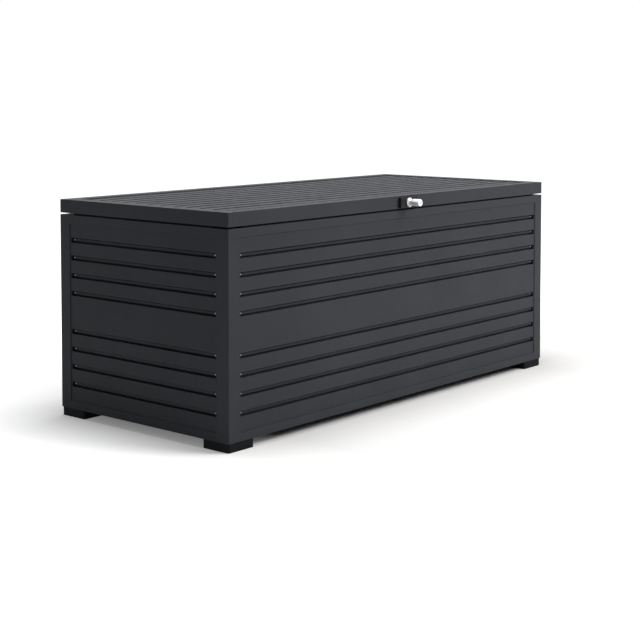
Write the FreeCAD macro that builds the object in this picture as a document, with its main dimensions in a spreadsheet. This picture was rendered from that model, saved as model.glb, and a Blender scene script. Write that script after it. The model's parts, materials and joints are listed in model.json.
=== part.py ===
"""Outdoor cushion storage box: a closed case of grooved panels held in a frame of
square tube, on four corner feet, under a hinged lid with two gas struts and a cam lock.

Millimetres. X runs along the long front, Y from the front to the back, Z up. The origin
is on the floor, under the middle of the case.
"""

import FreeCAD, Part
import os
import re
import Sketcher
from FreeCAD import Placement, Rotation, Vector

SIZES = (
    ("box_width", 1600, "case, left to right"),
    ("box_depth", 708, "case, front to back"),
    ("panel_height", 537, "opening between the bottom and top rails"),
    ("frame_width", 44, "face width of posts, rails and lid frame, seen from above"),
    ("rail_height", 25, "bottom and top rails"),
    ("tube_wall", 1.5, "wall of every frame tube"),
    ("edge_radius", 3, "rounded upright corners"),
    ("lid_height", 40, "lid frame"),
    ("lid_gap", 5.5, "open gap between case and closed lid"),
    ("sheet_wall", 1.2, "formed sheet of the panels"),
    ("panel_recess", 2, "panel face behind the frame's face"),
    ("rim_depth", 16, "folded edge round each panel"),
    ("groove_height", 15, "mouth of a groove"),
    ("groove_pitch", 53.4, "from one groove of a side to the next"),
    ("middle_band", 115.7, "between the two grooves beside the middle of a side"),
    ("lid_border", 16.3, "middle of the lid panel's outer grooves from the panel's edge"),
    ("groove_depth", 7, "floor of a groove behind the panel's face"),
    ("groove_inset", 4.7, "ends of a groove from the panel's ends"),
    ("low_slit", 4.6, "deep channel along the lower edge of each groove"),
    ("high_slit", 2.8, "deep channel along its upper edge"),
    ("end_slit", 4.6, "deep channel across both its ends"),
    ("slit_depth", 13.5, "bottom of those channels behind the panel's face"),
    ("slit_drop", 2.5, "how far the lower channel runs on down behind the panel's face"),
    ("foot_height", 26, "corner foot"),
    ("foot_side", 101, "square foot"),
    ("foot_inset", 2, "foot behind the frame's face"),
    ("foot_wall", 5, "moulded wall and ribs of a foot"),
    ("foot_top", 4, "moulded top of a foot"),
    ("foot_chamfer", 4, "upright corners of a foot"),
    ("floor_wall", 1.5, "floor sheet"),
    ("floor_clearance", 1, "floor sheet to posts and panels"),
    ("bearer_width", 30, "cross tubes under the floor"),
    ("bearer_inset", 400, "outer cross tubes from the case's ends"),
    ("brace_width", 25, "cross tubes under the lid panel"),
    ("brace_height", 12, "cross tubes under the lid panel"),
    ("brace_inset", 530, "cross tubes from the case's ends"),
    ("stile_width", 30, "uprights inside the ends that carry the struts"),
    ("knuckle_radius", 5, "hinge barrel"),
    ("knuckle_length", 27, "one of three barrels"),
    ("knuckle_gap", 0.3, "between neighbouring barrels"),
    ("leaf_wall", 2.5, "hinge leaf"),
    ("leaf_reach", 20, "leaf from the barrel's edge"),
    ("hinge_pin_radius", 2.5, "hinge pin"),
    ("pin_clearance", 0.06, "round every pin and spindle"),
    ("hinge_inset", 260, "hinges from the case's ends"),
    ("strut_reach", 250, "hinge axis to both ends of a strut"),
    ("strut_setback", 100, "strut's lower pivot in front of the hinge axis"),
    ("strut_rise", 9.5, "strut's upper pivot above the lid's lower edge"),
    ("strut_bore", 15, "inside of the strut's tube, diameter"),
    ("strut_tube_wall", 1.5, "strut's tube"),
    ("strut_tube_length", 225, "strut's tube"),
    ("strut_end", 24, "strut's eye to its tube, at each end"),
    ("rod_radius", 4, "strut's rod"),
    ("gland_length", 10, "strut's front gland"),
    ("cap_length", 4, "strut's end cap"),
    ("piston_length", 8, "piston on the rod"),
    ("piston_clearance", 0.3, "round the piston and behind it"),
    ("eye_radius", 8, "strut's end eyes"),
    ("eye_width", 8, "strut's end eyes"),
    ("neck_width", 9, "flat shank between eye and tube"),
    ("stud_radius", 3.5, "stud through an eye"),
    ("bracket_wall", 3, "plate that carries a stud"),
    ("bracket_width", 20, "that plate"),
    ("bracket_length", 52, "lower plate"),
    ("head_bracket_length", 60, "upper plate"),
    ("stud_shoulder", 11, "hexagon of the stud between plate and eye"),
    ("stud_end", 2.5, "stud beyond the eye"),
    ("strut_standoff", 15, "strut's axis from the frame's inner face"),
    ("side_clearance", 0.5, "beside an eye, a piece of the lock or a sealing strip"),
    ("lock_width", 84, "lock housing"),
    ("lock_height", 34, "lock housing"),
    ("lock_depth", 10.5, "lock housing in front of the lid"),
    ("lock_drop", 21, "lock axis below the lid's top"),
    ("lock_radius", 3, "housing corners"),
    ("barrel_radius", 9.5, "lock barrel through the lid frame"),
    ("spindle_radius", 4, "lock spindle"),
    ("nut_width", 13, "hexagon nut behind the cam"),
    ("nut_height", 2.2, "that nut"),
    ("ring_radius", 14.25, "bright ring"),
    ("ring_wall", 2, "bright ring"),
    ("ring_height", 2.5, "bright ring"),
    ("knob_radius", 11.2, "turning knob"),
    ("knob_length", 44, "turning knob"),
    ("knob_waist", 10.2, "radius of the knob's waist"),
    ("waist_length", 16, "the waist, from the knob's foot"),
    ("knob_chamfer", 2.5, "bevelled end of the knob"),
    ("cam_reach", 36, "lock axis to the hook"),
    ("cam_width", 9, "cam arm and hook"),
    ("cam_wall", 3, "cam"),
    ("hook_length", 16, "hook at the end of the cam"),
    ("keeper_wall", 2, "keeper"),
    ("keeper_lip", 10, "how far the keeper stands out over the hook"),
    ("keeper_width", 24, "keeper's screwed plate"),
    ("keeper_height", 20, "keeper's screwed plate"),
    ("seal_width", 8, "rubber sealing strip"),
    ("seal_inset", 1, "sealing strip behind the frame's face"),
)

GROOVES_PER_HALF = 4
LID_GROOVES = 12
BEARERS = ("left", "middle", "right")
QUARTER = 90

FLOOR_Z = "(foot_height + rail_height)"
CASE_TOP = "(foot_height + 2 * rail_height + panel_height)"
LID_Z = f"({CASE_TOP} + lid_gap)"
LID_TOP = f"({LID_Z} + lid_height)"
HINGE_Y = "(box_depth / 2 + knuckle_radius)"
HINGE_Z = f"({CASE_TOP} + lid_gap / 2)"
PANEL_BACK = "(panel_recess + rim_depth)"

doc = FreeCAD.newDocument("CushionBox")
sheet = doc.addObject("Spreadsheet::Sheet", "Sizes")
for number, (alias, value, meaning) in enumerate(SIZES, start=1):
    sheet.set(f"A{number}", alias)
    sheet.set(f"B{number}", str(value))
    sheet.setAlias(f"B{number}", alias)
    sheet.set(f"C{number}", meaning)
doc.recompute()

parts = []


def bound(text):
    """The same expression with each size's name as a cell of the sheet."""
    return re.sub(r"[a-z]+(_[a-z]+)+", r"Sizes.\g<0>", str(text))


def number_of(text):
    """Present value of an expression."""
    found = sheet.evalExpression(bound(text))
    return float(getattr(found, "Value", found))


def bind(item, path, text):
    item.setExpression(path, bound(text))


def new_body(name, turns=()):
    """An empty body. turns are (axis, degrees), the first one made first."""
    body = doc.addObject("PartDesign::Body", name)
    body.Label = name
    turned = Rotation()
    for axis, degrees in turns:
        turned = Rotation(axis, degrees).multiply(turned)
    body.Placement = Placement(Vector(), turned)
    parts.append(body)
    return body


def place(body, x="0", y="0", z="0"):
    for letter, text in zip("xyz", (x, y, z)):
        bind(body, f"Placement.Base.{letter}", text)
    return body


def sketch_on(body, role="XY_Plane", offset="0"):
    """A sketch on one of the body's own planes, moved along that plane's normal."""
    sketch = body.newObject("Sketcher::SketchObject", f"{body.Name}_outline")
    plane = next(o for o in body.Origin.OriginFeatures if o.Role == role)
    sketch.AttachmentSupport = [(plane, "")]
    sketch.MapMode = "FlatFace"
    bind(sketch, "AttachmentOffset.Base.z", offset)
    return sketch


def fix_point(sketch, edge, end, x, y):
    """Holds one end of an edge at x, y, measured from the sketch's origin."""
    for kind, axis, text in (("DistanceX", -2, x), ("DistanceY", -1, y)):
        if text == "0":
            sketch.addConstraint(Sketcher.Constraint("PointOnObject", edge, end, axis))
            continue
        held = Sketcher.Constraint(kind, -1, 1, edge, end, number_of(text))
        bind(sketch, f"Constraints[{sketch.addConstraint(held)}]", text)


def arc_between(start, end, centre):
    """The shorter arc from start to end, and which of its ends is the start."""
    radius = (start - centre).Length
    circle = Part.Circle(centre, Vector(0, 0, 1), radius)
    first, last = circle.parameter(start), circle.parameter(end)
    turn = (start - centre).cross(end - centre).z
    if turn > 0:
        return Part.ArcOfCircle(circle, first, last), 1, 2
    return Part.ArcOfCircle(circle, last, first), 2, 1


def outline(sketch, *corners):
    """A closed outline. A corner is (x, y), or (x, y, centre x, centre y, radius)
    where the edge that leaves it is an arc."""
    points = [Vector(number_of(c[0]), number_of(c[1]), 0) for c in corners]
    edges = []
    for corner, start, end in zip(corners, points, points[1:] + points[:1]):
        if len(corner) == 2:
            shape, leaves, arrives = Part.LineSegment(start, end), 1, 2
        else:
            centre = Vector(number_of(corner[2]), number_of(corner[3]), 0)
            shape, leaves, arrives = arc_between(start, end, centre)
        edges.append((sketch.addGeometry(shape, False), leaves, arrives))
    for (edge, leaves, _), (before, _, arrives) in zip(edges, edges[-1:] + edges[:-1]):
        sketch.addConstraint(Sketcher.Constraint("Coincident", before, arrives, edge, leaves))
    for corner, (edge, leaves, _) in zip(corners, edges):
        fix_point(sketch, edge, leaves, corner[0], corner[1])
        if len(corner) > 2:
            size = Sketcher.Constraint("Radius", edge, number_of(corner[4]))
            bind(sketch, f"Constraints[{sketch.addConstraint(size)}]", corner[4])
    return sketch


def rectangle(sketch, left, low, right, high):
    return outline(sketch, (left, low), (right, low), (right, high), (left, high))


def hexagon(sketch, width):
    """Six equal sides about the sketch's origin, width measured across the flats."""
    half, corner = f"({width} / 2)", f"({width} / sqrt(3))"
    return outline(
        sketch,
        (corner, "0"),
        (f"{corner} / 2", half),
        (f"-{corner} / 2", half),
        (f"-{corner}", "0"),
        (f"-{corner} / 2", f"-{half}"),
        (f"{corner} / 2", f"-{half}"),
    )


def circle(sketch, x, y, radius):
    centre = Vector(number_of(x), number_of(y), 0)
    edge = sketch.addGeometry(Part.Circle(centre, Vector(0, 0, 1), number_of(radius)), False)
    fix_point(sketch, edge, 3, x, y)
    size = Sketcher.Constraint("Radius", edge, number_of(radius))
    bind(sketch, f"Constraints[{sketch.addConstraint(size)}]", radius)
    return sketch


def feature(kind, sketch, length, back=False, both=False):
    """A pad or pocket of a sketch. back turns it round, both runs it to both sides."""
    body = sketch.getParentGeoFeatureGroup()
    made = body.newObject(f"PartDesign::{kind}", f"{body.Name}_{kind.lower()}")
    made.Profile = sketch
    made.Reversed = back
    made.SideType = "Symmetric" if both else "One side"
    bind(made, "Length", length)
    sketch.Visibility = False
    return made


def pad(sketch, length, back=False, both=False):
    return feature("Pad", sketch, length, back, both)


def pocket(sketch, length, back=False, both=False):
    return feature("Pocket", sketch, length, back, both)


def revolve(sketch, kind="Revolution"):
    """A full turn of a sketch about its upright axis."""
    body = sketch.getParentGeoFeatureGroup()
    made = body.newObject(f"PartDesign::{kind}", f"{body.Name}_{kind.lower()}")
    made.Profile = sketch
    made.ReferenceAxis = (sketch, ["V_Axis"])
    made.Angle = 360
    return made


X_AXIS, Z_AXIS = Vector(1, 0, 0), Vector(0, 0, 1)

# Four sides seen from above: turn of a member whose outer face looks along its own +Y,
# then its length and the place of that face.
SIDES = {
    "front": (2 * QUARTER, "box_width", "0", "-box_depth / 2"),
    "right": (-QUARTER, "box_depth", "box_width / 2", "0"),
    "back": (0, "box_width", "0", "box_depth / 2"),
    "left": (QUARTER, "box_depth", "-box_width / 2", "0"),
}


def mitred_tube(name, side, height, z):
    """One side of a frame of square tube, mitred at both ends and rounded at the tips."""
    turn, length, x, y = SIDES[side]
    body = place(new_body(name, [(Z_AXIS, turn)]), x, y, z)
    tip = f"({length} / 2 - edge_radius)"
    shoulder = f"({length} / 2 - edge_radius * (1 - sqrt(0.5)))"
    drop = "(-edge_radius * (1 - sqrt(0.5)))"
    inner = f"({length} / 2 - frame_width)"
    outline(
        sketch_on(body),
        (f"-{tip}", "0"),
        (tip, "0", tip, "-edge_radius", "edge_radius"),
        (shoulder, drop),
        (inner, "-frame_width"),
        (f"-{inner}", "-frame_width"),
        (f"-{shoulder}", drop, f"-{tip}", "-edge_radius", "edge_radius"),
    )
    pad(body.Group[-1], height)
    near, far = f"({length} / 2)", f"({length} / 2 - frame_width + 2 * tube_wall)"
    hollow = sketch_on(body, offset=f"{height} - tube_wall")
    outline(
        hollow,
        (f"-{near}", "-tube_wall"),
        (near, "-tube_wall"),
        (far, "tube_wall - frame_width"),
        (f"-{far}", "tube_wall - frame_width"),
    )
    pocket(hollow, f"{height} - 2 * tube_wall")
    return body


def corner_post(name, turn, x, y):
    """Upright square tube between the rails, outer corner at its own origin."""
    body = place(new_body(name, [(Z_AXIS, turn)]), x, y, FLOOR_Z)
    sketch = sketch_on(body)
    outline(
        sketch,
        ("-frame_width", "-frame_width"),
        ("0", "-frame_width"),
        ("0", "-edge_radius", "-edge_radius", "-edge_radius", "edge_radius"),
        ("-edge_radius", "0"),
        ("-frame_width", "0"),
    )
    inner = "tube_wall - frame_width"
    rectangle(sketch, inner, inner, "-tube_wall", "-tube_wall")
    pad(sketch, "panel_height")


def grooved_panel(body, length, height, centres):
    """A formed sheet seen from outside, face at its own Z = 0: a folded rim, and a groove
    at each of centres. A deep channel runs round the raised floor of each groove, and its
    lower side runs on down behind the face, so no light reaches its bottom."""
    half, rise = f"({length}) / 2", f"({height}) / 2"
    rectangle(sketch_on(body), f"-{half}", f"-{rise}", half, rise)
    pad(body.Group[-1], "sheet_wall", back=True)

    rim = rectangle(sketch_on(body), f"-{half}", f"-{rise}", half, rise)
    rectangle(
        rim,
        f"sheet_wall - {half}",
        f"sheet_wall - {rise}",
        f"{half} - sheet_wall",
        f"{rise} - sheet_wall",
    )
    pad(rim, "rim_depth", back=True)

    low, high = "(-groove_height / 2)", "(groove_height / 2)"
    reach = f"({half} - groove_inset)"

    def grooves(wall, drop="0", top=high, floor=False, depth="0"):
        """A band from low to top at every groove, wall larger on each side and its lower
        edge a drop further down, without the raised floor where floor is set."""
        sketch = sketch_on(body, offset=f"-{depth}")
        for centre in centres:
            x = f"({reach} + {wall})"
            rectangle(
                sketch,
                f"-{x}",
                f"{centre} + {low} - {wall} - {drop}",
                x,
                f"{centre} + {top} + {wall}",
            )
            if floor:
                x = f"({reach} - end_slit - {wall})"
                rectangle(
                    sketch,
                    f"-{x}",
                    f"{centre} + {low} + low_slit + {wall}",
                    x,
                    f"{centre} + {high} - high_slit - {wall}",
                )
        return sketch

    pad(grooves("sheet_wall"), "groove_depth + sheet_wall", back=True)
    pad(grooves("sheet_wall", "slit_drop", floor=True), "slit_depth + sheet_wall", back=True)
    pocket(grooves("0"), "groove_depth")
    pocket(grooves("0", floor=True), "slit_depth")
    under = grooves("0", "slit_drop", top=f"({low} + low_slit)", depth="sheet_wall")
    pocket(under, "slit_depth - sheet_wall")


def side_panels():
    """Front, back and two ends, standing on the bottom rails between the posts."""
    centres = []
    for step in range(GROOVES_PER_HALF):
        away = f"(middle_band / 2 + {step} * groove_pitch)"
        centres += [away, f"-{away}"]
    turns = {"front": 0, "right": QUARTER, "back": 2 * QUARTER, "left": -QUARTER}
    middle = f"{FLOOR_Z} + panel_height / 2"
    for side, turn in turns.items():
        _, length, x, y = SIDES[side]
        outward = "-" if side in ("front", "left") else ""
        if side in ("front", "back"):
            y = f"{outward}(box_depth / 2 - panel_recess)"
        else:
            x = f"{outward}(box_width / 2 - panel_recess)"
        body = new_body(f"{side}_panel", [(X_AXIS, QUARTER), (Z_AXIS, turn)])
        place(body, x, y, middle)
        grooved_panel(body, f"{length} - 2 * frame_width", "panel_height", centres)


def lid_panel():
    """Top of the lid, let into its frame, with grooves all over. Its own low side is at
    the hinges, and its folded front edge is notched where the lock's cam turns."""
    turned = [(Z_AXIS, 2 * QUARTER)]
    body = place(new_body("lid_panel", turned), z=f"{LID_TOP} - panel_recess")
    reach = "(box_depth / 2 - frame_width - lid_border)"
    pitch = f"(2 * {reach} / {LID_GROOVES - 1})"
    centres = [f"({step} * {pitch} - {reach})" for step in range(LID_GROOVES)]
    grooved_panel(body, "box_width - 2 * frame_width", "box_depth - 2 * frame_width", centres)
    notch = sketch_on(body, "XZ_Plane", offset="frame_width - box_depth / 2")
    swing = "(cam_width * sqrt(1.25) + side_clearance)"
    rectangle(
        notch,
        "-cam_reach - 2 * side_clearance",
        "-rim_depth",
        swing,
        f"panel_recess - lock_drop + {swing}",
    )
    pocket(notch, "2 * sheet_wall", back=True)


def case_frame():
    for side in SIDES:
        mitred_tube(f"{side}_bottom_rail", side, "rail_height", "foot_height")
        mitred_tube(f"{side}_top_rail", side, "rail_height", f"{FLOOR_Z} + panel_height")
    right, back = "box_width / 2", "box_depth / 2"
    corner_post("back_right_post", 0, right, back)
    corner_post("back_left_post", QUARTER, f"-{right}", back)
    corner_post("front_left_post", 2 * QUARTER, f"-{right}", f"-{back}")
    corner_post("front_right_post", -QUARTER, right, f"-{back}")


def lid_frame():
    for side in SIDES:
        body = mitred_tube(f"lid_{side}_rail", side, "lid_height", LID_Z)
        if side == "front":
            through = circle(
                sketch_on(body, "XZ_Plane"),
                "0",
                "lid_height - lock_drop",
                "barrel_radius + pin_clearance",
            )
            pocket(through, "3 * frame_width", both=True)


def feet():
    """Moulded corner feet, open below with a cross of ribs."""
    across = "box_width / 2 - foot_inset - foot_side / 2"
    along = "box_depth / 2 - foot_inset - foot_side / 2"
    for row, y in (("front", f"-({along})"), ("back", along)):
        for column, x in (("left", f"-({across})"), ("right", across)):
            body = place(new_body(f"{row}_{column}_foot"), x, y)
            half, bend = "foot_side / 2", "(foot_side / 2 - foot_chamfer)"
            outline(
                sketch_on(body),
                (f"-{bend}", f"-{half}"),
                (bend, f"-{half}"),
                (half, f"-{bend}"),
                (half, bend),
                (bend, half),
                (f"-{bend}", half),
                (f"-{half}", bend),
                (f"-{half}", f"-{bend}"),
            )
            pad(body.Group[-1], "foot_height")
            cells = sketch_on(body)
            near, far = "foot_wall / 2", "(foot_side / 2 - foot_wall)"
            for left, right in ((f"-{far}", f"-{near}"), (near, far)):
                for low, high in ((f"-{far}", f"-{near}"), (near, far)):
                    rectangle(cells, left, low, right, high)
            pocket(cells, "foot_height - foot_top", back=True)


def floor():
    """Floor sheet on the bottom rails and three bearers, notched round the posts."""
    body = place(new_body("floor_panel"), z=FLOOR_Z)
    right = f"(box_width / 2 - {PANEL_BACK} - floor_clearance)"
    back = f"(box_depth / 2 - {PANEL_BACK} - floor_clearance)"
    notch_x = "(box_width / 2 - frame_width - floor_clearance)"
    notch_y = "(box_depth / 2 - frame_width - floor_clearance)"
    outline(
        sketch_on(body),
        (f"-{notch_x}", f"-{back}"),
        (notch_x, f"-{back}"),
        (notch_x, f"-{notch_y}"),
        (right, f"-{notch_y}"),
        (right, notch_y),
        (notch_x, notch_y),
        (notch_x, back),
        (f"-{notch_x}", back),
        (f"-{notch_x}", notch_y),
        (f"-{right}", notch_y),
        (f"-{right}", f"-{notch_y}"),
        (f"-{notch_x}", f"-{notch_y}"),
    )
    pad(body.Group[-1], "floor_wall")
    span = "box_depth - 2 * frame_width"
    for step, name in enumerate(BEARERS, start=-1):
        cross_tube(
            f"{name}_floor_bearer",
            f"{step} * (box_width / 2 - bearer_inset)",
            "foot_height + rail_height / 2",
            "bearer_width",
            "rail_height",
            span,
        )


def cross_tube(name, x, z, width, height, length):
    """Rectangular tube that runs from front to back."""
    body = place(new_body(name), x, "0", z)
    sketch = sketch_on(body, "XZ_Plane")
    half, rise = f"{width} / 2", f"{height} / 2"
    rectangle(sketch, f"-{half}", f"-{rise}", half, rise)
    rectangle(
        sketch,
        f"tube_wall - {half}",
        f"tube_wall - {rise}",
        f"{half} - tube_wall",
        f"{rise} - tube_wall",
    )
    pad(sketch, length, both=True)


def lid_braces():
    low = f"{LID_TOP} - {PANEL_BACK} - brace_height / 2"
    for name, side in (("left", "-"), ("right", "")):
        cross_tube(
            f"{name}_lid_brace",
            f"{side}(box_width / 2 - brace_inset)",
            low,
            "brace_width",
            "brace_height",
            "box_depth - 2 * frame_width",
        )


def hinge_leaf(name, x, side, barrels):
    """One leaf. side is -1 for the leaf below the axis and 1 for the one above it."""
    body = place(new_body(name), x, HINGE_Y, HINGE_Z)
    step = "(knuckle_length + knuckle_gap)"
    near = f"{side} * (knuckle_radius + side_clearance)"
    far = f"{side} * (knuckle_radius + leaf_reach)"
    half = f"({step} + knuckle_length / 2)"
    leaf = sketch_on(body, "XZ_Plane", offset="knuckle_radius - leaf_wall")
    ends = sorted((near, far), key=number_of)
    rectangle(leaf, f"-{half}", ends[0], half, ends[1])
    pad(leaf, "leaf_wall")
    ends = sorted(("0", near), key=number_of)
    for barrel in barrels:
        left = f"{barrel} * {step} - knuckle_length / 2"
        right = f"{barrel} * {step} + knuckle_length / 2"
        tab = sketch_on(body, "XZ_Plane", offset="knuckle_radius - leaf_wall")
        pad(rectangle(tab, left, ends[0], right, ends[1]), "leaf_wall")
        eye = circle(sketch_on(body, "YZ_Plane", offset=left), "0", "0", "knuckle_radius")
        pad(eye, "knuckle_length")
    bore = circle(sketch_on(body, "YZ_Plane"), "0", "0", "hinge_pin_radius + pin_clearance")
    pocket(bore, "4 * knuckle_length", both=True)


def hinges():
    """Two butt hinges across the back. Of each one's three barrels the outer two belong
    to the case, the middle one to the lid."""
    for name, side in (("left", "-"), ("right", "")):
        x = f"{side}(box_width / 2 - hinge_inset)"
        hinge_leaf(f"{name}_hinge_case_leaf", x, -1, (-1, 1))
        hinge_leaf(f"{name}_hinge_lid_leaf", x, 1, (0,))
        pin = place(new_body(f"{name}_hinge_pin"), x, HINGE_Y, HINGE_Z)
        shaft = circle(sketch_on(pin, "YZ_Plane"), "0", "0", "hinge_pin_radius")
        pad(shaft, "3 * knuckle_length + 4 * knuckle_gap", both=True)


# A strut's two pivots are equally far from the hinge axis, so the strut turns by exactly
# half the lid's angle, and its rod and tube stay in one line at every angle of the lid.
FOOT_DROP = "sqrt(strut_reach ^ 2 - strut_setback ^ 2)"
HEAD_RISE = "(lid_gap / 2 + strut_rise)"
HEAD_SETBACK = f"sqrt(strut_reach ^ 2 - {HEAD_RISE} ^ 2)"
STRUT_LENGTH = f"sqrt(({HEAD_SETBACK} - strut_setback) ^ 2 + ({HEAD_RISE} + {FOOT_DROP}) ^ 2)"
STRUT_TILT = f"atan(({HEAD_SETBACK} - strut_setback) / ({HEAD_RISE} + {FOOT_DROP}))"
STRUT_X = "(box_width / 2 - frame_width - strut_standoff)"
FOOT_PIVOT = (f"{HINGE_Y} - strut_setback", f"{HINGE_Z} - {FOOT_DROP}")
HEAD_PIVOT = (f"{HINGE_Y} - {HEAD_SETBACK}", f"{LID_Z} + strut_rise")


def strut_piece(name, x, pivot):
    """An empty body whose own +Z runs up the strut from the given pivot."""
    body = new_body(name, [(X_AXIS, 1)])
    bind(body, "Placement.Rotation.Angle", STRUT_TILT)
    return place(body, x, *pivot)


def strut_eye(body, end):
    """Eye and shank. end is 1 where the strut lies above the eye, -1 where below."""
    half, flat = "neck_width / 2", "eye_width / 2"
    shank = rectangle(sketch_on(body), f"-{flat}", f"-{half}", flat, half)
    pad(shank, "strut_end", back=end < 0)
    ring = circle(sketch_on(body, "YZ_Plane"), "0", "0", "eye_radius")
    pad(ring, "eye_width", both=True)
    hole = circle(sketch_on(body, "YZ_Plane"), "0", "0", "stud_radius + pin_clearance")
    pocket(hole, "2 * eye_width", both=True)


def strut_tube(name, x):
    """Gas strut's tube, its upper end on the lid."""
    body = strut_piece(name, x, HEAD_PIVOT)
    outer = "strut_bore / 2 + strut_tube_wall"
    top, low = "-strut_end", "(-strut_end - strut_tube_length)"
    profile = outline(
        sketch_on(body, "XZ_Plane"),
        ("0", top),
        (outer, top),
        (outer, low),
        ("rod_radius + pin_clearance", low),
        ("rod_radius + pin_clearance", f"{low} + gland_length"),
        ("strut_bore / 2", f"{low} + gland_length"),
        ("strut_bore / 2", f"{top} - cap_length"),
        ("0", f"{top} - cap_length"),
    )
    revolve(profile)
    strut_eye(body, -1)


def strut_rod(name, x):
    """Gas strut's rod with its piston, its lower end on the case."""
    body = strut_piece(name, x, FOOT_PIVOT)
    tip = f"({STRUT_LENGTH} - strut_end - cap_length - piston_clearance)"
    profile = outline(
        sketch_on(body, "XZ_Plane"),
        ("0", "strut_end"),
        ("rod_radius", "strut_end"),
        ("rod_radius", f"{tip} - piston_length"),
        ("strut_bore / 2 - piston_clearance", f"{tip} - piston_length"),
        ("strut_bore / 2 - piston_clearance", tip),
        ("0", tip),
    )
    revolve(profile)
    strut_eye(body, 1)


def stud_bracket(name, turn, x, y, z, plate_box):
    """Plate against a side with a stud on a hexagon, which stands along its own -X."""
    body = place(new_body(name, [(Z_AXIS, turn)]), x, y, z)
    pad(rectangle(sketch_on(body, "YZ_Plane"), *plate_box), "bracket_wall", back=True)
    near = "(strut_standoff - eye_width / 2 - side_clearance)"
    far = "(strut_standoff + eye_width / 2 + side_clearance)"
    pad(hexagon(sketch_on(body, "YZ_Plane"), "stud_shoulder"), near, back=True)
    stud = circle(sketch_on(body, "YZ_Plane"), "0", "0", "stud_radius")
    pad(stud, f"{far} + stud_end", back=True)


def struts():
    wall = "(box_width / 2 - frame_width)"
    stile_depth = f"(frame_width - {PANEL_BACK})"
    for side, sign, turn in (("left", "-", 2 * QUARTER), ("right", "", 0)):
        x = f"{sign}{STRUT_X}"
        strut_tube(f"{side}_strut_tube", x)
        strut_rod(f"{side}_strut_rod", x)
        face = f"{sign}{wall}"
        half, rise = "bracket_width / 2", "bracket_length / 2"
        upright = (f"-{half}", f"-{rise}", half, rise)
        stud_bracket(f"{side}_strut_foot_bracket", turn, face, *FOOT_PIVOT, upright)
        half, top = "head_bracket_length / 2", "bracket_width - strut_rise"
        level = (f"-{half}", "-strut_rise", half, top)
        stud_bracket(f"{side}_strut_head_bracket", turn, face, *HEAD_PIVOT, level)
        stile = new_body(f"{side}_strut_stile", [(Z_AXIS, turn)])
        place(stile, face, FOOT_PIVOT[0], f"{FLOOR_Z} + floor_wall")
        sketch = sketch_on(stile)
        rectangle(sketch, "0", "-stile_width / 2", stile_depth, "stile_width / 2")
        rectangle(
            sketch,
            "tube_wall",
            "tube_wall - stile_width / 2",
            f"{stile_depth} - tube_wall",
            "stile_width / 2 - tube_wall",
        )
        pad(sketch, "panel_height - floor_wall")


LOCK_Y = "-(box_depth / 2)"
LOCK_Z = f"{LID_TOP} - lock_drop"
CAM_FRONT = "(frame_width + side_clearance)"


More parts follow.
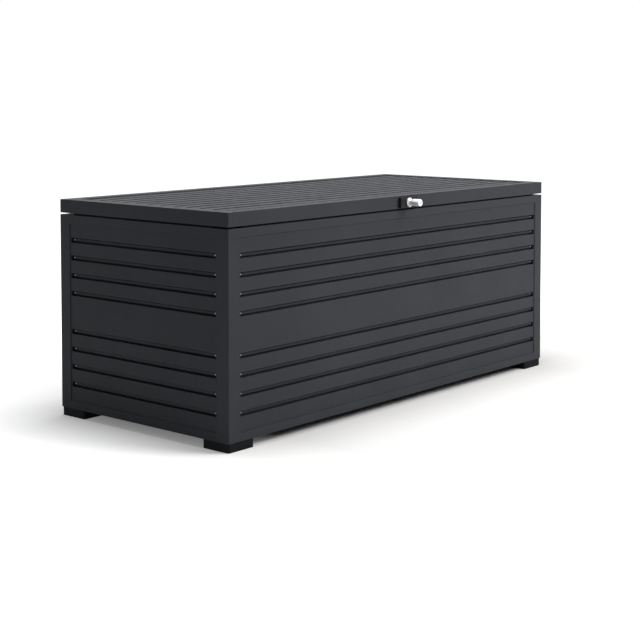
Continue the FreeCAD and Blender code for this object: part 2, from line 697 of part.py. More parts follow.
def lock():
    """Lock in the middle of the lid's front. Its own +Z points out of the front and its
    own Y up. The knob turns the spindle, and the spindle the hooked cam behind the lid."""
    upright = [(X_AXIS, QUARTER)]
    housing = place(new_body("lock_housing", upright), "0", LOCK_Y, LOCK_Z)
    half, rise = "lock_width / 2", "lock_height / 2"
    bend_x, bend_y = "(lock_width / 2 - lock_radius)", "(lock_height / 2 - lock_radius)"
    outline(
        sketch_on(housing),
        (f"-{bend_x}", f"-{rise}"),
        (bend_x, f"-{rise}", bend_x, f"-{bend_y}", "lock_radius"),
        (half, f"-{bend_y}"),
        (half, bend_y, bend_x, bend_y, "lock_radius"),
        (bend_x, rise),
        (f"-{bend_x}", rise, f"-{bend_x}", bend_y, "lock_radius"),
        (f"-{half}", bend_y),
        (f"-{half}", f"-{bend_y}", f"-{bend_x}", f"-{bend_y}", "lock_radius"),
    )
    pad(housing.Group[-1], "lock_depth")
    pad(circle(sketch_on(housing), "0", "0", "barrel_radius"), "frame_width", back=True)
    bore = circle(sketch_on(housing), "0", "0", "spindle_radius + pin_clearance")
    pocket(bore, "3 * frame_width", both=True)

    ring = place(new_body("lock_ring", upright), "0", f"{LOCK_Y} - lock_depth", LOCK_Z)
    band = circle(sketch_on(ring), "0", "0", "ring_radius")
    circle(band, "0", "0", "ring_radius - ring_wall")
    pad(band, "ring_height")

    knob = place(new_body("lock_knob", upright), "0", f"{LOCK_Y} - lock_depth", LOCK_Z)
    foot, end = "side_clearance", "(side_clearance + knob_length)"
    shoulder = f"{foot} + waist_length"
    outline(
        sketch_on(knob, "XZ_Plane"),
        ("0", foot),
        ("knob_waist", foot),
        ("knob_waist", shoulder),
        ("knob_radius", shoulder),
        ("knob_radius", f"{end} - knob_chamfer"),
        ("knob_radius - knob_chamfer", end),
        ("0", end),
    )
    revolve(knob.Group[-1])

    spindle = place(new_body("lock_spindle", upright), "0", LOCK_Y, LOCK_Z)
    shaft = sketch_on(spindle, offset="lock_depth + side_clearance")
    circle(shaft, "0", "0", "spindle_radius")
    pad(shaft, f"lock_depth + side_clearance + {CAM_FRONT} + cam_wall", back=True)
    nut = sketch_on(spindle, offset=f"-{CAM_FRONT} - cam_wall")
    hexagon(nut, "nut_width")
    pad(nut, "nut_height", back=True)

    cam = place(new_body("lock_cam", upright), "0", LOCK_Y, LOCK_Z)
    arm = sketch_on(cam, offset=f"-{CAM_FRONT}")
    side = "cam_width / 2"
    outline(
        arm,
        ("0", f"-{side}"),
        ("cam_reach - cam_width", f"-{side}"),
        ("cam_reach - cam_width", "-hook_length"),
        ("cam_reach", "-hook_length"),
        ("cam_reach", side),
        ("0", side),
        ("-cam_width", side),
        ("-cam_width", f"-{side}"),
    )
    circle(arm, "0", "0", "spindle_radius")
    pad(arm, "cam_wall", back=True)

    keeper = place(new_body("lock_keeper"), "0", "-(box_depth / 2 - frame_width)", LOCK_Z)
    lip_top = "(cam_width - cam_reach + side_clearance + keeper_wall)"
    lip = sketch_on(keeper, "YZ_Plane", offset="-cam_width / 2 - side_clearance")
    rectangle(lip, "0", f"{lip_top} - keeper_wall", "keeper_lip", lip_top)
    pad(lip, "hook_length + keeper_width", back=True)
    plate = sketch_on(keeper, "YZ_Plane", offset="-hook_length - 2 * side_clearance")
    rectangle(plate, "0", f"{lip_top} - keeper_height", "keeper_wall", lip_top)
    pad(plate, "keeper_width", back=True)


def seal():
    """Rubber strips on the top rails, which the closed lid comes down on. The back has
    none, so the box is aired there."""
    body = place(new_body("lid_seal"), z=CASE_TOP)
    sketch = sketch_on(body)
    outer_x, outer_y = "(box_width / 2 - seal_inset)", "(box_depth / 2 - seal_inset)"
    low = f"(seal_width - {outer_y})"
    rectangle(sketch, f"-{outer_x}", f"-{outer_y}", outer_x, low)
    ends = (f"-{outer_x}", f"seal_width - {outer_x}"), (f"{outer_x} - seal_width", outer_x)
    for left, right in ends:
        rectangle(sketch, left, f"{low} + side_clearance", right, outer_y)
    pad(sketch, "lid_gap - side_clearance / 2")


case_frame()
side_panels()
floor()
feet()
lid_frame()
lid_panel()
lid_braces()
hinges()
struts()
lock()
seal()
doc.recompute()

for item in doc.Objects:
    if "Invalid" in item.State or "Error" in item.State:
        raise RuntimeError(f"{item.Label} failed: {item.State}")
os.makedirs("parts", exist_ok=True)
for body in parts:
    if body.Shape.isNull() or not body.Shape.isValid():
        raise RuntimeError(f"{body.Label} has no valid shape")
    body.Shape.exportStep(f"parts/{body.Label}.step")
    box = body.Shape.BoundBox
    corners = (box.XMin, box.YMin, box.ZMin, box.XMax, box.YMax, box.ZMax)
    print(body.Label, len(body.Shape.Solids), [round(v, 1) for v in corners])
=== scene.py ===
"""Looks of the outdoor cushion storage box: powder coated frame and grooved panels,
moulded feet, chrome lock, gas struts and hinges, on a white studio floor.

Metres, in the frame of the CAD model.
"""

import json
import math

import bmesh
import bpy
from mathutils import Matrix, Vector


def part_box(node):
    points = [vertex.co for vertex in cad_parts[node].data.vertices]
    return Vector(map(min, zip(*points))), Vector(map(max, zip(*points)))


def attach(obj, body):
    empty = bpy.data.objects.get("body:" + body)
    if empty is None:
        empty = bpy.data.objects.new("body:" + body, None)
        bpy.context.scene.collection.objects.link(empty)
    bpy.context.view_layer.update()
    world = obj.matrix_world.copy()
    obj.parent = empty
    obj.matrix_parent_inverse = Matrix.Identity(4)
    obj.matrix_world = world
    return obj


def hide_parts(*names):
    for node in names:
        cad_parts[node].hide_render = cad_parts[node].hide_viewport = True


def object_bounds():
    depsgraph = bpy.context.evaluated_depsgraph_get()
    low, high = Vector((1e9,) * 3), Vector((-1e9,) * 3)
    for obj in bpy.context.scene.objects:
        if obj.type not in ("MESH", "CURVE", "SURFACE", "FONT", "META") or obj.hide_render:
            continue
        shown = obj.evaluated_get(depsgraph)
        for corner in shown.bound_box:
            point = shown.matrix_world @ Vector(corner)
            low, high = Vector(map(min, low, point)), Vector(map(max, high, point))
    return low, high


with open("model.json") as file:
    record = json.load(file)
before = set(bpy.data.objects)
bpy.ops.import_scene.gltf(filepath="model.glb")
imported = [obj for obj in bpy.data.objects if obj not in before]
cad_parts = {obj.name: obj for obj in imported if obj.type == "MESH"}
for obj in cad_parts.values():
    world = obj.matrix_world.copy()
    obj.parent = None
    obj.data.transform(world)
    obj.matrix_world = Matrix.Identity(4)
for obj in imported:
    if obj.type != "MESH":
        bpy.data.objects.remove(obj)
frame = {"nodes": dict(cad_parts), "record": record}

cad_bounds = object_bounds()
MM = 0.001

body_of_node = {
    node: body
    for body, group in frame["record"]["behaviour"]["bodies"].items()
    for node in group
}
slot_of_node = {row["node"]: row["material_slot"] for row in frame["record"]["subparts"]}
pivot_of = {row["name"]: row["pos_m"] for row in frame["record"]["behaviour"]["joints"]}

# Materials

# Most values of a noise pattern lie in this range.
PATTERN_RANGE = (0.3, 0.7)


def mapped(tree, source, start, end, low, high):
    """A value that runs from low to high while source runs from start to end."""
    node = tree.nodes.new("ShaderNodeMapRange")
    limits = {"From Min": start, "From Max": end, "To Min": low, "To Max": high}
    for key, value in limits.items():
        node.inputs[key].default_value = value
    tree.links.new(source, node.inputs["Value"])
    return node.outputs["Result"]


class Shader:
    """A node material around one Principled shader."""

    def __init__(self, name, colour, roughness, metallic=0.0, specular=0.5):
        self.material = bpy.data.materials.new(name)
        self.material.use_nodes = True
        self.tree = self.material.node_tree
        self.shader = self.tree.nodes["Principled BSDF"]
        self.shader.inputs["Base Color"].default_value = (*colour, 1)
        self.shader.inputs["Roughness"].default_value = roughness
        self.shader.inputs["Metallic"].default_value = metallic
        self.shader.inputs["Specular IOR Level"].default_value = specular
        self.place = self.add("ShaderNodeTexCoord").outputs["Object"]
        self.normal = None

    def add(self, kind):
        return self.tree.nodes.new(kind)

    def link(self, source, target):
        self.tree.links.new(source, target)

    def noise(self, size, detail=3.0, stretch=(1, 1, 1)):
        """Noise whose grains are about size metres across."""
        scaled = self.add("ShaderNodeMapping")
        scaled.inputs["Scale"].default_value = stretch
        self.link(self.place, scaled.inputs["Vector"])
        noise = self.add("ShaderNodeTexNoise")
        noise.inputs["Scale"].default_value = 1 / size
        noise.inputs["Detail"].default_value = detail
        self.link(scaled.outputs["Vector"], noise.inputs["Vector"])
        return noise.outputs["Fac"]

    def bump(self, source, height):
        """Adds relief of the given height in metres."""
        bump = self.add("ShaderNodeBump")
        bump.inputs["Strength"].default_value = 1.0
        bump.inputs["Distance"].default_value = height
        self.link(source, bump.inputs["Height"])
        if self.normal:
            self.link(self.normal, bump.inputs["Normal"])
        self.normal = bump.outputs["Normal"]
        self.link(self.normal, self.shader.inputs["Normal"])
        return self

    def tones(self, source, dark, light):
        """Base colour between two tones, by a pattern."""
        ramp = self.add("ShaderNodeValToRGB")
        ramp.color_ramp.elements[0].position = PATTERN_RANGE[0]
        ramp.color_ramp.elements[1].position = PATTERN_RANGE[1]
        ramp.color_ramp.elements[0].color = (*dark, 1)
        ramp.color_ramp.elements[1].color = (*light, 1)
        self.link(source, ramp.inputs["Fac"])
        self.link(ramp.outputs["Color"], self.shader.inputs["Base Color"])
        return self

    def gloss(self, source, low, high):
        """Roughness from low to high, by a pattern."""
        roughness = mapped(self.tree, source, *PATTERN_RANGE, low, high)
        self.link(roughness, self.shader.inputs["Roughness"])
        return self


def tinted(colour, factor):
    return tuple(channel * factor for channel in colour)


def powder_coat(name, colour):
    """Anthracite powder coat: fine matt grain, faint cloudiness of tone and gloss."""
    coat = Shader(name, colour, 0.5, specular=0.06)
    clouds = coat.noise(0.22, detail=4.0)
    coat.tones(clouds, tinted(colour, 0.93), tinted(colour, 1.07))
    coat.gloss(coat.noise(0.035, detail=5.0), 0.44, 0.54)
    coat.bump(coat.noise(0.0011, detail=2.0), 0.00006)
    coat.bump(coat.noise(0.004, detail=1.0), 0.00004)
    return coat.material


def moulded(name, colour, roughness, grain, specular=0.2):
    """Moulded plastic or rubber with a fine even grain."""
    plastic = Shader(name, colour, roughness, specular=specular)
    plastic.tones(plastic.noise(0.03), tinted(colour, 0.85), tinted(colour, 1.15))
    plastic.gloss(plastic.noise(0.012, detail=4.0), roughness - 0.06, roughness + 0.06)
    plastic.bump(plastic.noise(grain, detail=2.0), 0.00008)
    return plastic.material


def plated(name, colour, roughness, stretch=(1, 1, 1), metallic=1.0):
    """Bare or plated metal with faint working marks."""
    metal = Shader(name, colour, roughness, metallic=metallic)
    metal.tones(metal.noise(0.008), tinted(colour, 0.94), tinted(colour, 1.04))
    marks = metal.noise(0.0016, detail=3.0, stretch=stretch)
    metal.gloss(marks, roughness * 0.8, roughness * 1.25)
    metal.bump(marks, 0.000012)
    return metal.material


COAT = (0.0325, 0.0352, 0.0405)
ZINC = (0.52, 0.53, 0.54)
materials = {
    "frame_coat": powder_coat("Frame_powder_coat", COAT),
    "panel_coat": powder_coat("Panel_powder_coat", tinted(COAT, 0.97)),
    "black_plastic": moulded("Black_moulded_plastic", (0.005, 0.005, 0.006), 0.6, 0.0009, 0.08),
    "black_rubber": moulded("Black_rubber", (0.004, 0.004, 0.004), 0.75, 0.0013, 0.08),
    "lock_black": moulded("Lock_moulding", (0.012, 0.012, 0.013), 0.45, 0.0006, 0.1),
    "chrome": plated("Satin_chrome", (0.88, 0.88, 0.89), 0.36, metallic=0.5),
    "strut_black": moulded("Strut_black_paint", (0.012, 0.012, 0.013), 0.3, 0.002),
    "bright_steel": plated("Zinc_plated_steel", ZINC, 0.34),
}
rivet_metal = plated("Rivet_aluminium", (0.3, 0.305, 0.31), 0.4)
rod_metal = plated("Ground_rod", (0.62, 0.63, 0.64), 0.16, stretch=(1, 1, 12))

# Pieces

# Angles between faces: shaded sharp above the first, broken above the second, and flat
# enough to join below the third.
SHARP_SHADING, SHARP_EDGE, FLAT_EDGE = (math.radians(angle) for angle in (35, 28, 0.5))
MERGE_DISTANCE = 0.002 * MM


def finished(mesh, name, material, body):
    """A smooth shaded piece of this mesh that rides on a body."""
    piece = bpy.data.objects.new(name, mesh)
    bpy.context.collection.objects.link(piece)
    mesh.materials.clear()
    mesh.materials.append(material)
    mesh.shade_smooth()
    mesh.set_sharp_from_angle(angle=SHARP_SHADING)
    weighted = piece.modifiers.new("Weighted", "WEIGHTED_NORMAL")
    weighted.keep_sharp = True
    weighted.weight = 80
    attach(piece, body)
    return piece


def softened(node, width):
    """A copy of a CAD node with its edges broken, in that node's place."""
    mesh = frame["nodes"][node].data.copy()
    shape = bmesh.new()
    shape.from_mesh(mesh)
    bmesh.ops.remove_doubles(shape, verts=shape.verts, dist=MERGE_DISTANCE)
    bmesh.ops.dissolve_limit(
        shape, angle_limit=FLAT_EDGE, verts=shape.verts, edges=shape.edges
    )
    edges = [e for e in shape.edges if e.is_manifold and e.calc_face_angle(0) > SHARP_EDGE]
    bmesh.ops.bevel(
        shape,
        geom=edges,
        offset=width,
        segments=2,
        profile=0.5,
        affect="EDGES",
        clamp_overlap=True,
    )
    shape.to_mesh(mesh)
    shape.free()
    slot = slot_of_node[node]
    piece = finished(mesh, f"{node}_finished", materials[slot], body_of_node[node])
    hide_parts(node)
    return piece


def turned(profile, sides=32):
    """Vertices and faces of a turned shape about +Z. A profile point is (radius, height)
    or (half width of a hexagon, height, "hexagon")."""
    rings, points, faces = [], [], []
    for radius, height, *kind in profile:
        ring = []
        if radius == 0:
            ring = [len(points)] * sides
            points.append(Vector((0, 0, height)))
        else:
            for step in range(sides):
                turn = 2 * math.pi * step / sides
                reach = radius
                if kind:
                    reach = radius / math.cos((turn % (math.pi / 3)) - math.pi / 6)
                ring.append(len(points))
                points.append(Vector((reach * math.cos(turn), reach * math.sin(turn), height)))
        rings.append(ring)
    for low, high in zip(rings, rings[1:]):
        for step in range(sides):
            after = (step + 1) % sides
            corners = [low[step], low[after], high[after], high[step]]
            face = list(dict.fromkeys(corners))
            if len(face) > 2:
                faces.append(face)
    return points, faces


def copies(name, shape, places, material, body):
    """One piece made of a shape set at each of these places."""
    points, faces = shape
    all_points, all_faces = [], []
    for place in places:
        start = len(all_points)
        all_points += [place @ point for point in points]
        all_faces += [[start + corner for corner in face] for face in faces]
    mesh = bpy.data.meshes.new(name)
    mesh.from_pydata(all_points, [], all_faces)
    shape = bmesh.new()
    shape.from_mesh(mesh)
    bmesh.ops.recalc_face_normals(shape, faces=shape.faces)
    shape.to_mesh(mesh)
    shape.free()
    return finished(mesh, name, material, body)


def facing(point, direction, turn=0.0):
    """A place whose +Z points along direction."""
    turned_to = Vector(direction).to_track_quat("Z", "Y").to_matrix().to_4x4()
    return Matrix.Translation(point) @ turned_to @ Matrix.Rotation(math.radians(turn), 4, "Z")


# Edge breaks in millimetres, by a word in the node's name. Other CAD pieces keep their mesh.
EDGE_BREAKS = (
    ("panel", 0.5),
    ("rail", 0.7),
    ("post", 0.7),
    ("foot", 1.0),
    ("bearer", 0.5),
    ("brace", 0.5),
    ("stile", 0.5),
    ("bracket", 0.3),
    ("leaf", 0.3),
    ("keeper", 0.3),
    ("cam", 0.4),
    ("housing", 0.8),
    ("ring", 0.5),
    ("strut_tube", 0.5),
    ("strut_rod", 0.3),
)
for node in frame["nodes"]:
    for word, width in EDGE_BREAKS:
        if word in node:
            piece = softened(node, width * MM)
            if node.endswith("strut_rod"):
                piece.data.materials[0] = rod_metal
            break
    else:
        if node not in ("lock_knob", "lid_seal"):
            data = frame["nodes"][node].data
            data.materials.clear()
            data.materials.append(materials[slot_of_node[node]])

# Rivets near both ends of every groove, on its raised floor

RIVET = turned(
    [(2.3 * MM, 0), (2.3 * MM, 0.3 * MM), (2.0 * MM, 0.9 * MM), (1.4 * MM, 1.3 * MM),
     (0.8 * MM, 1.4 * MM), (0.75 * MM, 0.9 * MM), (0, 0.9 * MM)],
    sides=24,
)
GROOVES_PER_HALF = 4
GROOVE_PITCH = 53.4 * MM
MIDDLE_BAND = 115.7 * MM
GROOVE_DEPTH = 7 * MM
RIVET_INSET = 13.7 * MM
RIVET_RISE = 0.9 * MM
LID_GROOVES = 12


def rivet_places(panel, outward, up, heights):
    """Places on a panel's raised floors, in rows at these heights from its middle."""
    low, high = (Vector(corner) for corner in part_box(panel))
    middle, half = (low + high) / 2, (high - low) / 2
    outward, up = Vector(outward), Vector(up)
    along = up.cross(outward)
    floor = middle + outward * (abs(outward.dot(half)) - GROOVE_DEPTH)
    reach = abs(along.dot(half)) - RIVET_INSET
    return [
        facing(floor + along * sign * reach + up * (height + RIVET_RISE), outward)
        for height in heights
        for sign in (-1, 1)
    ]


side_heights = [
    sign * (MIDDLE_BAND / 2 + step * GROOVE_PITCH)
    for step in range(GROOVES_PER_HALF)
    for sign in (-1, 1)
]
OUTWARD = {"front": (0, -1, 0), "back": (0, 1, 0), "left": (-1, 0, 0), "right": (1, 0, 0)}
for side, outward in OUTWARD.items():
    places = rivet_places(f"{side}_panel", outward, (0, 0, 1), side_heights)
    copies(f"{side}_panel_rivets", RIVET, places, rivet_metal, "case")

lid_heights = [(step - (LID_GROOVES - 1) / 2) * GROOVE_PITCH for step in range(LID_GROOVES)]
places = rivet_places("lid_panel", (0, 0, 1), (0, -1, 0), lid_heights)
copies("lid_panel_rivets", RIVET, places, rivet_metal, "lid")

# Screws on hinges, brackets and keeper, and clips on the struts' studs

SCREW = turned(
    [(3.8 * MM, 0), (3.8 * MM, 0.5 * MM), (3.3 * MM, 1.4 * MM), (2.4 * MM, 1.9 * MM),
     (1.35 * MM, 2.0 * MM, "hexagon"), (1.35 * MM, 0.6 * MM, "hexagon"), (0, 0.6 * MM)],
    sides=24,
)
CLIP = turned(
    [(3.4 * MM, 0), (5.4 * MM, 0), (5.6 * MM, 0.2 * MM), (5.6 * MM, 0.8 * MM), (5.4 * MM, MM),
     (3.4 * MM, MM), (3.4 * MM, 0)],
    sides=32,
)
SCREW_EDGE = 8 * MM
LEAF_WALL, LEAF_SCREW_PITCH = 2.5 * MM, 29 * MM
BRACKET_WALL, FOOT_SCREW_REACH, HEAD_SCREW_REACH = 3 * MM, 19 * MM, 22 * MM
CLIP_REACH = 19.8 * MM
KEEPER_WALL, KEEPER_SCREW_PLACES = 2 * MM, (10 * MM, 22 * MM)
# Turns of the sockets, in degrees, so that they don't line up.
LEAF_SCREW_TURN, BRACKET_SCREW_TURN, KEEPER_SCREW_TURNS = 17, 11, (10, 22)


def fittings(name, shape, places, body):
    copies(name, shape, places, materials["bright_steel"], body)


for side, inward in (("left", 1), ("right", -1)):
    for leaf in ("case", "lid"):
        low, high = (Vector(corner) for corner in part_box(f"{side}_hinge_{leaf}_leaf"))
        middle = (low + high) / 2
        height = low.z + SCREW_EDGE if leaf == "case" else high.z - SCREW_EDGE
        places = []
        for step in (-1, 0, 1):
            spot = (middle.x + step * LEAF_SCREW_PITCH, low.y + LEAF_WALL, height)
            places.append(facing(spot, (0, 1, 0), step * LEAF_SCREW_TURN))
        fittings(f"{side}_hinge_{leaf}_screws", SCREW, places, leaf)

    for end, body, piece in (("foot", "case", "rod"), ("head", "lid", "tube")):
        low, high = (Vector(corner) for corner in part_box(f"{side}_strut_{end}_bracket"))
        wall = low.x if inward > 0 else high.x
        middle = (low + high) / 2
        if end == "foot":
            spots = [(middle.y, middle.z + step * FOOT_SCREW_REACH) for step in (-1, 1)]
        else:
            spots = [(middle.y + step * HEAD_SCREW_REACH, middle.z) for step in (-1, 1)]
        places = [
            facing((wall + inward * BRACKET_WALL, y, z), (inward, 0, 0), BRACKET_SCREW_TURN)
            for y, z in spots
        ]
        fittings(f"{side}_strut_{end}_screws", SCREW, places, body)
        _, y, z = pivot_of[f"{side}_{piece}_pivot"]
        clip = facing((wall + inward * CLIP_REACH, y, z), (inward, 0, 0))
        fittings(f"{side}_strut_{end}_clip", CLIP, [clip], body)

low, high = (Vector(corner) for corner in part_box("lock_keeper"))
places = []
for along, turn in zip(KEEPER_SCREW_PLACES, KEEPER_SCREW_TURNS):
    spot = (low.x + along, low.y + KEEPER_WALL, low.z + SCREW_EDGE)
    places.append(facing(spot, (0, 1, 0), turn))
fittings("lock_keeper_screws", SCREW, places, "case")

# Sealing strips

SEAL_WIDTH, SEAL_FOOT = 8 * MM, 0.9 * MM
# Length of the corners left free, where daylight shows under the lid.
FREE_CORNER = 60 * MM
BULB_STEPS, BULB_START, BULB_SWEEP = 20, -60, 300
# Middle of the bulb from the strip's inner edge, in radii.
BULB_INSET = 1.1


def sealing_strip(height):
    """A strip of length 1 along X: a round bulb on a flat foot, with the bulb to +Y."""
    radius = (height - SEAL_FOOT) / 2
    middle = SEAL_WIDTH - BULB_INSET * radius
    outline = [(0, 0), (SEAL_WIDTH, 0), (SEAL_WIDTH, SEAL_FOOT)]
    for step in range(BULB_STEPS + 1):
        turn = math.radians(BULB_START + BULB_SWEEP * step / BULB_STEPS)
        across, rise = radius * math.cos(turn), radius * math.sin(turn)
        outline.append((middle + across, SEAL_FOOT + radius + rise))
    outline.append((0, SEAL_FOOT))
    count = len(outline)
    points = [Vector((x, across, rise)) for x in (0, 1) for across, rise in outline]
    faces = [[i, (i + 1) % count, count + (i + 1) % count, count + i] for i in range(count)]
    faces += [list(range(count)), list(range(2 * count - 1, count - 1, -1))]
    return points, faces


def stretched(start, end, inward):
    """A place that stretches a strip of length 1 from start to end."""
    start, end = Vector(start), Vector(end)
    sides = Matrix((end - start, inward, (0, 0, 1)))
    return Matrix.Translation(start) @ sides.transposed().to_4x4()


low, high = (Vector(corner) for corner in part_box("lid_seal"))
left_end, right_end = low.x + FREE_CORNER, high.x - FREE_CORNER
front_end, back_end = low.y + FREE_CORNER, high.y - FREE_CORNER
places = [stretched((left_end, low.y, low.z), (right_end, low.y, low.z), (0, 1, 0))]
for x, inward in ((low.x, 1), (high.x, -1)):
    places.append(stretched((x, front_end, low.z), (x, back_end, low.z), (inward, 0, 0)))
strips = copies("lid_seal_finished", sealing_strip(high.z - low.z), places,
                materials["black_rubber"], "case")
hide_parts("lid_seal")

# Lock knob and its key barrel

WAIST, WAIST_FROM, WAIST_LENGTH = 1.4 * MM, 3 * MM, 15 * MM
WAIST_STEPS, WAIST_FULLNESS, KNOB_SIDES = 12, 0.8, 64
FOOT_CHAMFER, COLLAR, COLLAR_STEP = 0.5 * MM, 2.6 * MM, 0.15 * MM
GRIP_FROM, GRIP_CHAMFER = 18.6 * MM, 2.4 * MM
CHAMFER_ROUNDING, CHAMFER_SET_BACK = 0.4 * MM, 0.25 * MM
SOCKET_RADIUS, SOCKET_CHAMFER, SOCKET_DEPTH = 5.6 * MM, 0.3 * MM, 0.7 * MM
BARREL_SIDES, BARREL_RADIUS, BARREL_LIFT = 48, 4 * MM, 0.05 * MM
SLOT_WIDTH, SLOT_LENGTH, SLOT_DEPTH = 1.4 * MM, 6.2 * MM, 2.5 * MM


def knob_profile(radius, length):
    """A collar, a drawn-in waist, a straight grip and a bevelled end with a round socket."""
    profile = [(0, 0), (radius - FOOT_CHAMFER, 0), (radius, FOOT_CHAMFER), (radius, COLLAR)]
    for step in range(WAIST_STEPS + 1):
        share = step / WAIST_STEPS
        dip = COLLAR_STEP + WAIST * math.sin(math.pi * share) ** WAIST_FULLNESS
        profile.append((radius - dip, WAIST_FROM + share * WAIST_LENGTH))
    bevel = length - GRIP_CHAMFER
    return profile + [
        (radius, GRIP_FROM),
        (radius, bevel - CHAMFER_ROUNDING),
        (radius - CHAMFER_SET_BACK, bevel + 0.5 * CHAMFER_ROUNDING),
        (radius - GRIP_CHAMFER, length - 0.5 * CHAMFER_ROUNDING),
        (radius - GRIP_CHAMFER - CHAMFER_ROUNDING, length),
        (SOCKET_RADIUS, length),
        (SOCKET_RADIUS - SOCKET_CHAMFER, length - SOCKET_DEPTH),
        (0, length - SOCKET_DEPTH),
    ]


def key_barrel():
    """Face of the key barrel: a disc with a slot sunk into it."""
    sides = BARREL_SIDES
    turns = [2 * math.pi * step / sides for step in range(sides)]
    outer = [BARREL_RADIUS * Vector((math.cos(turn), math.sin(turn), 0)) for turn in turns]
    inner = []
    for point in outer:
        inner.append(point / max(2 * abs(point.x) / SLOT_WIDTH, 2 * abs(point.y) / SLOT_LENGTH))
    points = outer + inner + [point - Vector((0, 0, SLOT_DEPTH)) for point in inner]
    faces = []
    for step in range(sides):
        after = (step + 1) % sides
        for ring in (0, sides):
            faces.append([ring + step, ring + after, ring + sides + after, ring + sides + step])
    faces.append(list(range(3 * sides - 1, 2 * sides - 1, -1)))
    return points, faces


low, high = (Vector(corner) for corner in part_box("lock_knob"))
radius, length = (high.x - low.x) / 2, high.y - low.y
foot = Matrix.Translation((0, high.y, (low.z + high.z) / 2)) @ Matrix.Rotation(math.pi / 2, 4, "X")
knob_shape = turned(knob_profile(radius, length), KNOB_SIDES)
knob = copies("lock_knob_finished", knob_shape, [foot], materials["chrome"], "lock")
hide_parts("lock_knob")

BARREL_RIM = turned(
    [(5.1 * MM, -0.6 * MM), (5.1 * MM, -0.1 * MM), (4.8 * MM, 0), (BARREL_RADIUS, 0)],
    sides=BARREL_SIDES,
)
end = foot @ Matrix.Translation((0, 0, length - BARREL_LIFT))
fittings("lock_key_barrel_rim", BARREL_RIM, [end], "lock")
fittings("lock_key_barrel", key_barrel(), [end], "lock")

# Studio

DOME_COLOUR, DOME = (0.94, 0.97, 1.0), 0.11
FLOOR_REACH = 30.0
# White of the paper as it is seen and as it throws light back. The paper as seen is darker than
# the light it throws back, which is a painted shade that deepens its shadows near the box.
PAPER, PAPER_BOUNCE = 0.78, 0.95
# Middle of the floor's dull part, set to the front and right of the box, and the distances beyond
# it over which a painted glow rises. To the box's left and behind it, this glow is painted light
# over the box's shadow.
PAINTED_GLOW_CENTRE = (0.35, -0.25, 0)
PAINTED_GLOW_FROM_TO = (0.1, 1.2)


def in_view(tree):
    """1 for rays that see the studio itself or its reflection, 0 for its light."""
    rays = tree.nodes.new("ShaderNodeLightPath")
    value = rays.outputs["Is Camera Ray"]
    for other in ("Is Glossy Ray", "Is Transmission Ray"):
        either = tree.nodes.new("ShaderNodeMath")
        either.operation = "MAXIMUM"
        tree.links.new(value, either.inputs[0])
        tree.links.new(rays.outputs[other], either.inputs[1])
        value = either.outputs["Value"]
    return value


def studio_world():
    world = bpy.data.worlds.new("Studio")
    bpy.context.scene.world = world
    world.use_nodes = True
    tree = world.node_tree
    tree.nodes.clear()
    dome = tree.nodes.new("ShaderNodeBackground")
    dome.inputs["Color"].default_value = (*DOME_COLOUR, 1)
    dome.inputs["Strength"].default_value = DOME
    white = tree.nodes.new("ShaderNodeBackground")
    white.inputs["Color"].default_value = (1, 1, 1, 1)
    mixed = tree.nodes.new("ShaderNodeMixShader")
    output = tree.nodes.new("ShaderNodeOutputWorld")
    tree.links.new(in_view(tree), mixed.inputs["Fac"])
    tree.links.new(dome.outputs["Background"], mixed.inputs[1])
    tree.links.new(white.outputs["Background"], mixed.inputs[2])
    tree.links.new(mixed.outputs["Shader"], output.inputs["Surface"])


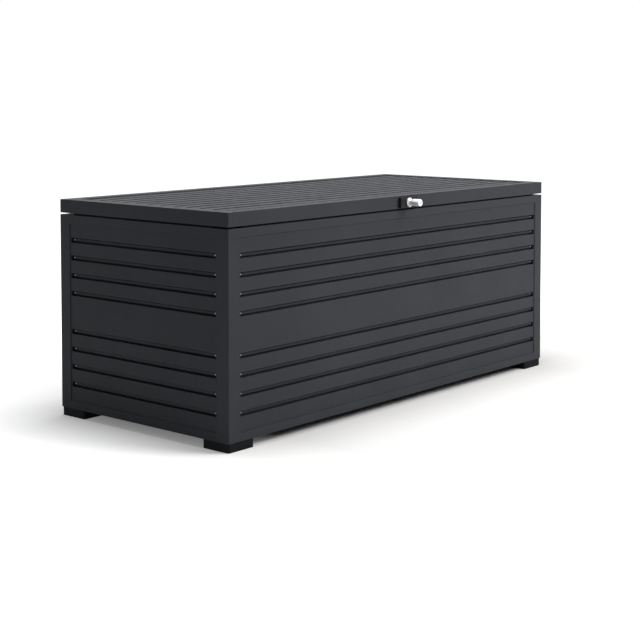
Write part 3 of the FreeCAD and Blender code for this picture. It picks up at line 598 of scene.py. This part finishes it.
def studio_floor():
    """White paper with a painted glow, seen by the camera and in reflections. The glow turns the
    paper white away from the box and paints light over the shadow to the box's left and behind it.
    """
    mesh = bpy.data.meshes.new("Studio_floor")
    signs = ((-1, -1), (1, -1), (1, 1), (-1, 1))
    corners = [(x * FLOOR_REACH, y * FLOOR_REACH, 0) for x, y in signs]
    mesh.from_pydata(corners, [], [(0, 1, 2, 3)])
    floor = bpy.data.objects.new("Studio_floor", mesh)
    bpy.context.collection.objects.link(floor)
    paper = bpy.data.materials.new("Studio_paper")
    paper.use_nodes = True
    tree = paper.node_tree
    tree.nodes.clear()
    diffuse = tree.nodes.new("ShaderNodeBsdfDiffuse")
    seen = in_view(tree)
    # Painted shade: the camera and reflections see the paper darker than the white with which it
    # throws light back.
    tree.links.new(mapped(tree, seen, 0, 1, PAPER_BOUNCE, PAPER), diffuse.inputs["Color"])
    # Painted glow: its strength rises with the distance from a rectangle round the box's
    # footprint, moved to the front and right.
    beyond = tree.nodes.new("ShaderNodeTexCoord").outputs["Object"]
    footprint = (cad_bounds[1][0], -cad_bounds[0][1], 0)
    for operation, other in (("SUBTRACT", PAINTED_GLOW_CENTRE), ("ABSOLUTE", None),
                             ("SUBTRACT", footprint), ("MAXIMUM", (0, 0, 0))):
        step = tree.nodes.new("ShaderNodeVectorMath")
        step.operation = operation
        tree.links.new(beyond, step.inputs[0])
        if other:
            step.inputs[1].default_value = other
        beyond = step.outputs["Vector"]
    distance = tree.nodes.new("ShaderNodeVectorMath")
    distance.operation = "LENGTH"
    tree.links.new(beyond, distance.inputs[0])
    painted_glow_share = mapped(tree, distance.outputs["Value"], *PAINTED_GLOW_FROM_TO, 0, 1)
    strength = tree.nodes.new("ShaderNodeMath")
    strength.operation = "MULTIPLY"
    tree.links.new(seen, strength.inputs[0])
    tree.links.new(painted_glow_share, strength.inputs[1])
    # Painted light: the paper glows for the camera and in reflections, which washes out the box's
    # shadow on its left.
    painted_glow = tree.nodes.new("ShaderNodeEmission")
    tree.links.new(strength.outputs["Value"], painted_glow.inputs["Strength"])
    both = tree.nodes.new("ShaderNodeAddShader")
    tree.links.new(diffuse.outputs["BSDF"], both.inputs[0])
    tree.links.new(painted_glow.outputs["Emission"], both.inputs[1])
    output = tree.nodes.new("ShaderNodeOutputMaterial")
    tree.links.new(both.outputs["Shader"], output.inputs["Surface"])
    mesh.materials.append(paper)


def soft_light(name, place, target, size, watts, colour=(1, 1, 1)):
    lamp = bpy.data.lights.new(name, "AREA")
    lamp.shape = "DISK"
    lamp.size = size
    lamp.energy = watts
    lamp.color = colour
    light = bpy.data.objects.new(name, lamp)
    light.location = place
    direction = Vector(target) - Vector(place)
    light.rotation_euler = direction.to_track_quat("-Z", "Y").to_euler()
    bpy.context.collection.objects.link(light)


studio_world()
studio_floor()
soft_light("Key_light", (2.3, -4.1, 3.9), (0.3, -0.3, 0.2), 3.6, 335, (1.0, 0.985, 0.96))
soft_light("Top_light", (-0.1, 0.1, 4.4), (-0.1, 0, 0), 2.4, 140)

# The photo's camera, with its heading from +X and its tilt below level in degrees
CAMERA_PLACE, HEADING, TILT = (-3.475, -2.9651, 0.9971), 40.503, 3.01
LENS, SENSOR_WIDTH, SHIFT_Y = 78.19, 36, -0.25

camera_data = bpy.data.cameras.new("Camera")
camera_data.lens = LENS
camera_data.sensor_width = SENSOR_WIDTH
camera_data.shift_y = SHIFT_Y
camera = bpy.data.objects.new("Camera", camera_data)
camera.location = CAMERA_PLACE
camera.rotation_euler = (math.radians(90 - TILT), 0, math.radians(HEADING - 90))
bpy.context.collection.objects.link(camera)
bpy.context.scene.camera = camera
bpy.context.scene.view_settings.view_transform = "Standard"
